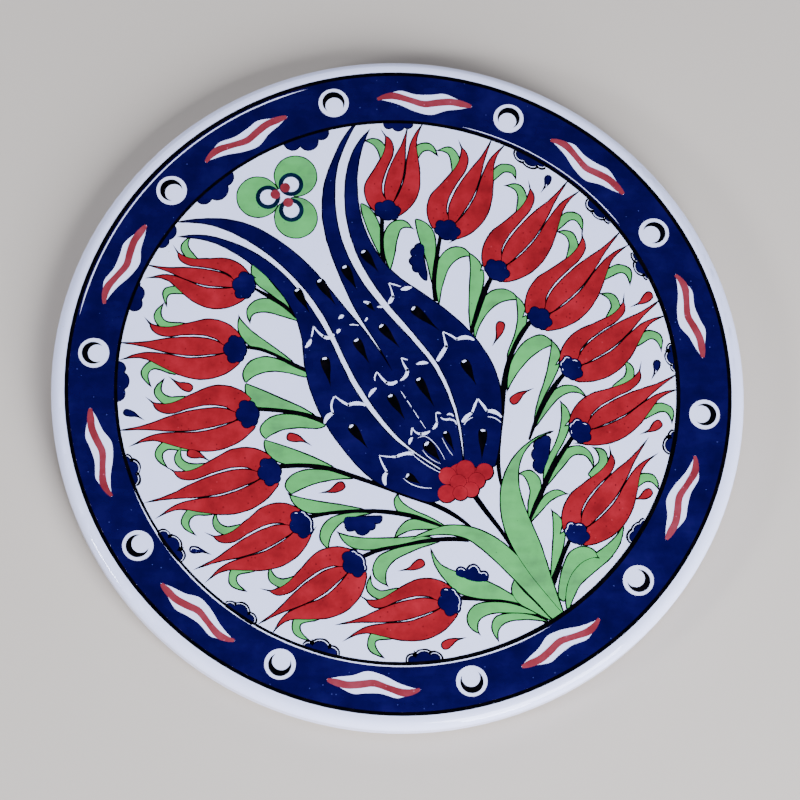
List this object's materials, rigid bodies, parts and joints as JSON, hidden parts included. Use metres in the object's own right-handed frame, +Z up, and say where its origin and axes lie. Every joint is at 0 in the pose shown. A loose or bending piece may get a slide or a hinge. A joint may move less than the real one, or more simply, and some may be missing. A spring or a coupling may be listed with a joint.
{
  "type": "decorated ceramic plate",
  "caption": "Flat round glazed ceramic plate with a rounded white rim, a cobalt border and a painted tulip bouquet, standing on felt pads",
  "frame": {"origin": "centre of the footprint, on the surface it stands on", "axes": "+Z up out of the painted face, +Y towards the top of the picture, +X to the right of the picture"},
  "size_m": [0.18, 0.18, 0.0095],
  "materials": {
    "clay": "unglazed fired clay",
    "white_glaze": "clear gloss glaze over white slip",
    "felt": "pressed felt",
    "cobalt": "gloss, brushed cobalt under clear glaze",
    "dark_blue": "gloss, dark blue line under clear glaze",
    "ink_black": "gloss black line",
    "tulip_red": "gloss, slightly mottled red",
    "rosette_red": "gloss bright red",
    "border_red": "gloss brick red",
    "leaf_green": "gloss, light green wash"
  },
  "bodies": {
    "root": {"clay_disc": "clay", "white_glaze": "white_glaze", "felt_pads": "felt", "border_band": "cobalt", "ring_clouds": "cobalt", "field_clouds": "cobalt", "tulip_cups": "cobalt", "great_tulip": "cobalt", "blue_drops": "cobalt", "trefoil_rings": "dark_blue", "outer_black_line": "ink_black", "inner_black_line": "ink_black", "border_crescents": "ink_black", "stems": "ink_black", "left_tulip_petals": "tulip_red", "right_tulip_petals": "tulip_red", "red_drops": "tulip_red", "rosette": "rosette_red", "trefoil_dots": "border_red", "border_waves": "border_red", "petal_hooks": "leaf_green", "stem_leaves": "leaf_green", "root_leaves": "leaf_green", "trefoil_discs": "leaf_green"}
  },
  "joints": []
}
